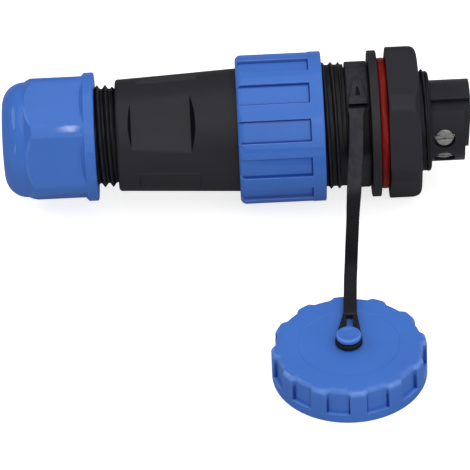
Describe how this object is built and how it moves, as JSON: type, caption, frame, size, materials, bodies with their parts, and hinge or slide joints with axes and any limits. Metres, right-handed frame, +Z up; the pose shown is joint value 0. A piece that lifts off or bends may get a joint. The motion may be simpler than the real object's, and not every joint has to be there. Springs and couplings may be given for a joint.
{
  "type": "circular connector",
  "caption": "Waterproof circular connector: cable plug with gland and coupling ring, screwed to a panel receptacle with gasket, nut and terminal block, and a strapped screw cap.",
  "frame": {"origin": "on the connector's axis, in the panel face of the receptacle's flange", "axes": "+X along the connector's axis towards the terminals, +Z up from the surface it lies on, -Y towards the cap"},
  "size_m": [0.1257, 0.1208, 0.0404],
  "materials": {
    "black_plastic": "satin moulded",
    "insert_plastic": "satin moulded",
    "blue_plastic": "semi-gloss moulded",
    "strap_plastic": "soft matt",
    "red_rubber": "matt",
    "black_rubber": "matt",
    "contact_brass": "turned",
    "screw_steel": "plated"
  },
  "bodies": {
    "receptacle": {"receptacle_shell": "black_plastic", "receptacle_insert": "insert_plastic", "insert_seal": "black_rubber", "insert_retainer": "insert_plastic", "receptacle_pins": "contact_brass", "receptacle_screws": "screw_steel"},
    "gasket": {"panel_gasket": "red_rubber"},
    "panel_nut": {"panel_nut": "black_plastic"},
    "plug": {"plug_nose": "black_plastic", "interface_seal": "black_rubber", "plug_insert": "insert_plastic", "plug_insert_retainer": "insert_plastic", "plug_sockets": "contact_brass", "plug_screws": "screw_steel", "back_shell": "black_plastic", "back_shell_seal": "black_rubber", "cable_seal": "black_rubber"},
    "coupling_ring": {"coupling_ring": "blue_plastic"},
    "claw": {"clamp_claw": "insert_plastic"},
    "gland_nut": {"gland_nut": "blue_plastic"},
    "strap": {"cap_strap": "strap_plastic"},
    "cap": {"cap": "blue_plastic", "cap_seal": "black_rubber"}
  },
  "joints": [
    {"name": "plug_slide", "type": "slide", "parent": "receptacle", "child": "plug", "axis": [-1, 0, 0], "range_m": [0, 0.0286]},
    {"name": "coupling_ring_turn", "type": "hinge", "parent": "plug", "child": "coupling_ring", "pos_m": [-0.0265, 0, 0], "axis": [-1, 0, 0], "range_deg": [0, 4680]},
    {"name": "claw_slide", "type": "slide", "parent": "plug", "child": "claw", "axis": [-1, 0, 0], "range_m": [-0.0044, 0.0132]},
    {"name": "gland_nut_turn", "type": "hinge", "parent": "claw", "child": "gland_nut", "pos_m": [-0.089, 0, 0], "axis": [-1, 0, 0], "range_deg": [-720, 2160]},
    {"name": "gasket_slide", "type": "slide", "parent": "receptacle", "child": "gasket", "axis": [1, 0, 0], "range_m": [0, 0.0264]},
    {"name": "panel_nut_turn", "type": "hinge", "parent": "gasket", "child": "panel_nut", "pos_m": [0.0066, 0, 0], "axis": [1, 0, 0], "range_deg": [0, 4320]},
    {"name": "strap_swing", "type": "hinge", "parent": "receptacle", "child": "strap", "pos_m": [-0.0057, 0, 0], "axis": [1, 0, 0], "continuous": true},
    {"name": "cap_swivel", "type": "hinge", "parent": "strap", "child": "cap", "pos_m": [-0.0122, -0.08, -0.0095], "axis": [0, 0, 1], "continuous": true}
  ],
  "couplings": [
    {"joint": "plug_slide", "follows": "coupling_ring_turn", "m_per_rad": 0.00035},
    {"joint": "claw_slide", "follows": "gland_nut_turn", "m_per_rad": 0.00035},
    {"joint": "gasket_slide", "follows": "panel_nut_turn", "m_per_rad": 0.00035}
  ]
}
